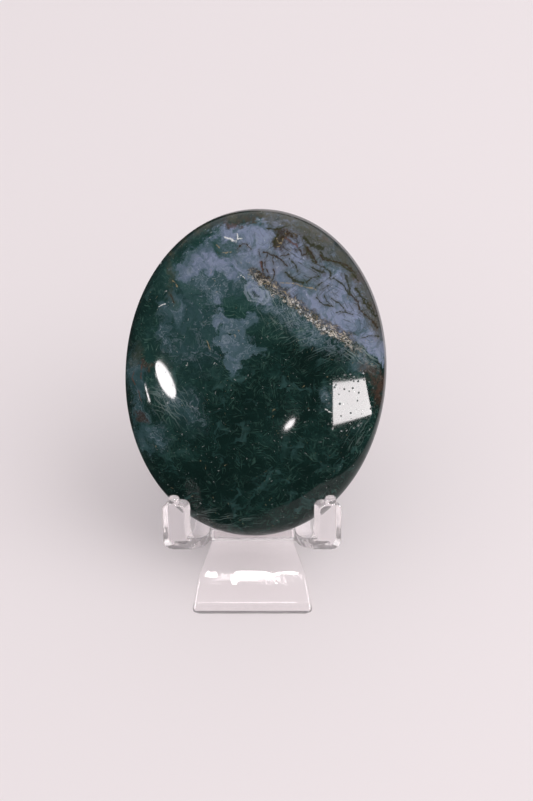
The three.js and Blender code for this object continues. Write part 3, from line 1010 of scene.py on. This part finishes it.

# Floor: the stone mirrors a patch of it just in front, and dimly a wedge to the right, and a painted glow
# makes it look paler through the neck of the plate, lifting the shade under the stone. Each edge has its
# place and softness, with a minus where it ends a part
floorSettings = {
    "halfSize": 3000, "colour": (0.86, 0.80, 0.812, 1), "roughness": 0.6,
    "patchFront": (-28, 2), "patchLeft": (-27, 3), "patchRight": (66, -6), "patchShare": 0.54,
    "wedgeFront": (-120, 3), "wedgeSlope": 1.45, "wedgeLeft": (-6, 8), "wedgeShare": 0.42,
    # The painted glow: where the floor is seen through the plastic near the stone it gives off light of its
    # own, to lighten the shade there
    "paintedGlowFront": (-18, 8), "paintedGlowBack": (-13, 3), "paintedGlowSides": (12, -2), "paintedGlowStrength": 0.2,
}


def makeFloor(settings):
    mesh = bpy.data.meshes.new("floor")
    half = settings["halfSize"] * mm
    corners = [(-half, -half, 0), (half, -half, 0), (half, half, 0), (-half, half, 0)]
    mesh.from_pydata(corners, [], [(0, 1, 2, 3)])
    floor = newObject("floor", mesh)
    material, tree = newMaterial("floor")
    lightPath = tree.add("ShaderNodeLightPath")
    seenThrough = lightPath.other("Transmission Depth").step(0, 1)
    where = tree.add("ShaderNodeTexCoord", output="Object").scaled(1 / mm)
    x, y, z = where.parts()

    def past(value, name):
        edge, soft = settings[name]
        return value.step(edge - soft, edge + soft)

    # Painted glow: emission on the floor, seen only through the plastic and only near the stone, that lifts
    # the stone's shadow
    pale = (past(y, "paintedGlowFront") + past(y, "paintedGlowBack")) * seenThrough * settings["paintedGlowStrength"]
    cloth = tree.add("ShaderNodeBsdfPrincipled", {
        "Base Color": settings["colour"], "Roughness": settings["roughness"], "Emission Strength": 1,
        "Emission Color": (pale * past(abs(x), "paintedGlowSides")).mix((0, 0, 0, 1), settings["colour"]),
    })
    patch = past(y, "patchFront") * settings["patchShare"]
    wedge = past(y + x * settings["wedgeSlope"], "wedgeFront") * past(x, "wedgeLeft") * settings["wedgeShare"]
    mirroredShare = patch.larger(wedge) * past(x, "patchRight") * past(x, "patchLeft")
    nothing = tree.add("ShaderNodeBsdfTransparent")
    share = lightPath.other("Is Glossy Ray") * (1 - seenThrough) * (1 - mirroredShare)
    tree.finish(tree.add("ShaderNodeMixShader", {0: share, 1: cloth, 2: nothing}))
    mesh.materials.append(material)


makeFloor(floorSettings)

# Light
keyLamp = {"azimuth": 95, "elevation": 52, "distance": 900, "size": 900, "power": 2.6}


def makeLamp(name, azimuth, elevation, distance, size, power):
    data = bpy.data.lights.new(name, "AREA")
    data.shape = "DISK"
    data.size = size * mm
    data.energy = power
    lamp = newObject(name, data)
    turn = math.radians(azimuth)
    rise = math.radians(elevation)
    away = Vector((math.sin(turn) * math.cos(rise), math.cos(turn) * math.cos(rise), math.sin(rise)))
    lamp.location = (stoneMiddle + away * distance) * mm
    lamp.rotation_euler = (-away).to_track_quat("-Z", "Y").to_euler()
    lamp.visible_camera = False
    lamp.visible_glossy = False
    lamp.visible_transmission = False
    return lamp


makeLamp("key", **keyLamp)

# Lamps that only the plastic mirrors: they draw its bright edges
glints = {
    "left": {"azimuth": -100, "elevation": 35, "distance": 900, "size": 500, "power": 6},
    "right": {"azimuth": 100, "elevation": 40, "distance": 900, "size": 500, "power": 6},
}

plasticPieces = bpy.data.collections.new("plastic")
for plasticPiece in (bentPlate, lippedCradle):
    plasticPieces.objects.link(plasticPiece)

for glintName, glintSettings in glints.items():
    glint = makeLamp(glintName, **glintSettings)
    glint.visible_glossy = True
    glint.visible_diffuse = False
    glint.light_linking.receiver_collection = plasticPieces

# Panels that the camera sees mirrored in the stone: places in the stone's own millimetres
panels = {
    "distance": 900,
    "colour": (1, 0.94, 0.95, 1),
    "sideSteps": 8,
    "ovalSteps": 32,
    "shapes": {
        "square": {"strength": 17, "corners": [(17.3, 1.3), (23.6, 2.5), (25.5, -5), (18, -7.5)]},
        "oval": {"strength": 26, "middle": (-17.4, -1.5), "halfSize": (1.45, 4.1), "turn": 30},
        "sliver": {"strength": 20, "corners": [(-22, -3.2), (-21.7, -3.2), (-20.4, -6.6), (-20.8, -6.6)]},
        "spot": {"strength": 26, "middle": (9.1, -8.1), "halfSize": (0.55, 1.4), "turn": -38},
    },
}


# A place, and where the camera ray that meets it goes after the mirror there
def bounce(place, normal):
    ray = (place - cameraPlace).normalized()
    return place, ray - 2 * ray.dot(normal) * normal


# The bounce off the stone's face
def mirroredByStone(across, up):
    halfWidth, halfLength, halfThickness = stone["halfSize"]
    outlinePower = stone["outlinePower"]
    edgePower = stone["edgePower"]
    wide = abs(across / halfWidth)
    high = abs(up / halfLength)
    ring = wide ** outlinePower + high ** outlinePower
    out = halfThickness * (1 - ring ** (edgePower / outlinePower)) ** (1 / edgePower)
    steepness = ring ** (edgePower / outlinePower - 1)
    normal = Vector((
        steepness * math.copysign(wide ** (outlinePower - 1), across) / halfWidth,
        steepness * math.copysign(high ** (outlinePower - 1), up) / halfLength,
        (out / halfThickness) ** (edgePower - 1) / halfThickness,
    ))
    turn = stoneTurn(stone)
    return bounce(turn @ Vector((across, up, out)) + stoneMiddle, (turn @ normal).normalized())


def panelOutline(shape):
    points = []
    if "corners" in shape:
        corners = [Vector(corner) for corner in shape["corners"]]
        for corner, following in zip(corners, corners[1:] + corners[:1]):
            for step in range(panels["sideSteps"]):
                points.append(corner.lerp(following, step / panels["sideSteps"]))
        return points
    turn = Matrix.Rotation(math.radians(shape["turn"]), 2)
    width, height = shape["halfSize"]
    for step in range(panels["ovalSteps"]):
        angle = math.tau * step / panels["ovalSteps"]
        around = Vector((width * math.cos(angle), height * math.sin(angle)))
        points.append(Vector(shape["middle"]) + turn @ around)
    return points


# A glowing sheet that only mirrors show, at a distance along the ray of each bounce
def makePanel(name, bounces, distance, strength, colour):
    mesh = bpy.data.meshes.new(name)
    points = [(place + away * distance) * mm for place, away in bounces]
    mesh.from_pydata(points, [], [tuple(range(len(points)))])
    panel = newObject(name, mesh)
    material, tree = newMaterial(name)
    glow = tree.add("ShaderNodeEmission", {"Color": colour, "Strength": strength})
    clear = tree.add("ShaderNodeBsdfTransparent")
    tree.finish(tree.add("ShaderNodeAddShader", {0: glow, 1: clear}))
    mesh.materials.append(material)
    panel.visible_camera = False
    panel.visible_diffuse = False
    panel.visible_shadow = False
    return panel


for panelName, panelShape in panels["shapes"].items():
    panelBounces = [mirroredByStone(*spot) for spot in panelOutline(panelShape)]
    makePanel(panelName, panelBounces, panels["distance"], panelShape["strength"], panels["colour"])

# The ragged streak on the foot's bend: millimetres from its middle, and the share of the bend passed
streak = {
    "strength": 26,
    "distance": 90,
    "share": 0.8,
    "colour": (1, 0.98, 0.98, 1),
    "pieces": [
        [(-12, 0.66), (-11, 0.84), (-9.8, 0.78), (-9, 0.9), (-8, 0.8), (-7.4, 0.66), (-7.8, 0.56),
         (-8.4, 0.42), (-9.4, 0.52), (-10.6, 0.46)],
        [(-4.3, 0.44), (-4.1, 0.62), (-3.5, 0.7), (-3.2, 0.86), (-1.6, 0.9), (0.4, 0.82), (2.2, 0.86),
         (3.8, 0.74), (4.8, 0.6), (5.4, 0.36), (6.1, 0.16), (5.5, 0.08), (4.6, 0.34), (3.2, 0.46),
         (2, 0.36), (0.6, 0.4), (-0.8, 0.26), (-2.2, 0.34), (-2.8, 0.1), (-3.6, 0.04), (-4, 0.24)],
        [(4.2, 0.66), (5.4, 0.76), (7, 0.8), (8.2, 0.92), (9.6, 0.84), (11, 0.74), (10.4, 0.56),
         (9.2, 0.68), (7.4, 0.6), (5.8, 0.64)],
    ],
}


# The bounce off the foot's bend
def mirroredByFoot(across, share):
    toe = Vector((0, plate["toeHeight"]))
    foot = Vector((plate["footBend"], plate["seatTop"]))
    slope = (foot - toe).normalized()
    first = foot - slope * plate["bendReach"]
    last = foot + Vector((1, 0)) * plate["bendReach"]
    spot = first.lerp(foot, share).lerp(foot.lerp(last, share), share)
    along = (foot - first).lerp(last - foot, share).normalized()
    place = Vector(((restBox[0].x + restBox[1].x) / 2 + across, restBox[0].y + spot.x, spot.y))
    return bounce(place, Vector((0, -along.y, along.x)))


for streakNumber, streakPiece in enumerate(streak["pieces"], 1):
    streakBounces = [mirroredByFoot(across, share * streak["share"]) for across, share in streakPiece]
    streakPanel = makePanel(f"streak_{streakNumber}", streakBounces, streak["distance"], streak["strength"],
                            streak["colour"])
    streakPanel.light_linking.receiver_collection = plasticPieces

# What lights the scene, and what the stone and the plastic mirror or show besides the panels
worldSettings = {
    "backdrop": (0.86, 0.84, 0.85, 1),
    "soft": (0.85, 0.82, 0.83, 1),
    "room": (0.03, 0.032, 0.035, 1),
    "sky": (0.5, 0.5, 0.52, 1),
    "bright": (1, 0.98, 0.98, 1),
}


def makeWorld(settings):
    world = bpy.data.worlds.new("studio")
    world.use_nodes = True
    world.node_tree.nodes.clear()
    tree = Tree(world.node_tree)
    x, y, z = tree.add("ShaderNodeTexCoord", output="Generated").parts()
    lightPath = tree.add("ShaderNodeLightPath")
    diffuse = lightPath.other("Diffuse Depth").step(0, 1)
    through = lightPath.other("Transmission Depth").step(0, 1)
    behind = (y + z * 0.6).step(0.6, 1.1) * z.step(0, 0.1)
    seen = behind.mix(settings["room"], settings["sky"])
    seen = through.mix(seen, settings["bright"])
    seen = diffuse.mix(seen, settings["soft"])
    seen = lightPath.other("Is Camera Ray").mix(seen, settings["backdrop"])
    background = tree.add("ShaderNodeBackground", {"Color": seen, "Strength": 1})
    tree.finish(background, "ShaderNodeOutputWorld")
    bpy.context.scene.world = world


makeWorld(worldSettings)
bpy.context.scene.view_settings.view_transform = "Standard"
print("light and floor ready")
